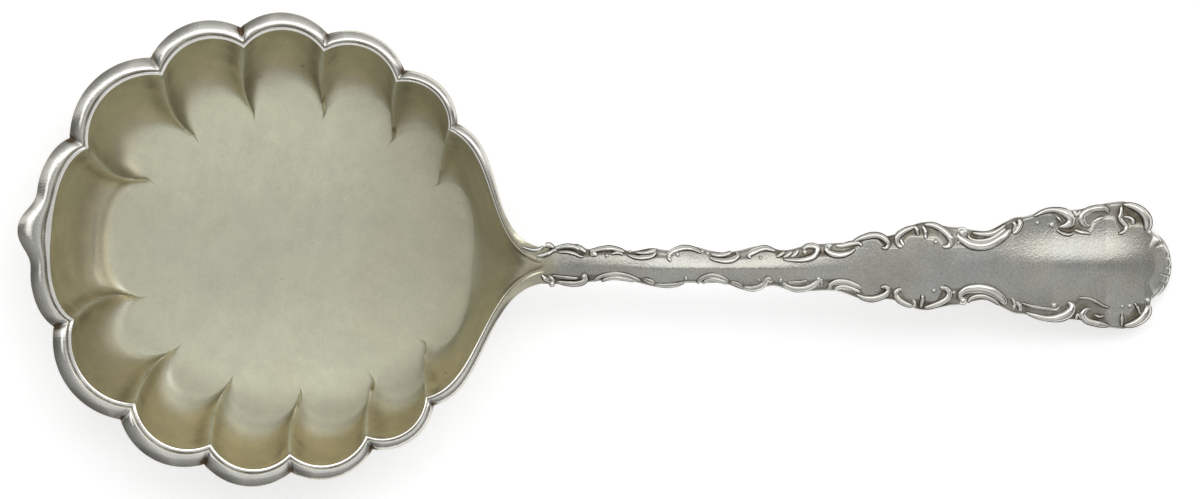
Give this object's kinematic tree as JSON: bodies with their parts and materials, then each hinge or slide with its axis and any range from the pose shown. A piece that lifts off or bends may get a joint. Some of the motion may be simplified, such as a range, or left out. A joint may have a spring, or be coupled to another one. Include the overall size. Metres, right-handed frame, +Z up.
{
  "type": "bonbon spoon",
  "caption": "Small serving spoon with a round fluted bowl, a scalloped rim with a pointed tip, and an arched handle with scroll borders.",
  "frame": {"origin": "middle of the bowl's flat foot, on the table", "axes": "+X along the handle towards its end, +Z up out of the bowl's mouth"},
  "size_m": [0.12, 0.0492, 0.0114],
  "materials": {
    "gilt_silver": "worn pale gilding over silver, satin",
    "polished_silver": "polished silver",
    "worn_silver": "worn silver, dark in the recesses"
  },
  "bodies": {
    "root": {"bowl": "gilt_silver", "rim_wire": "polished_silver", "handle": "worn_silver"}
  },
  "joints": []
}
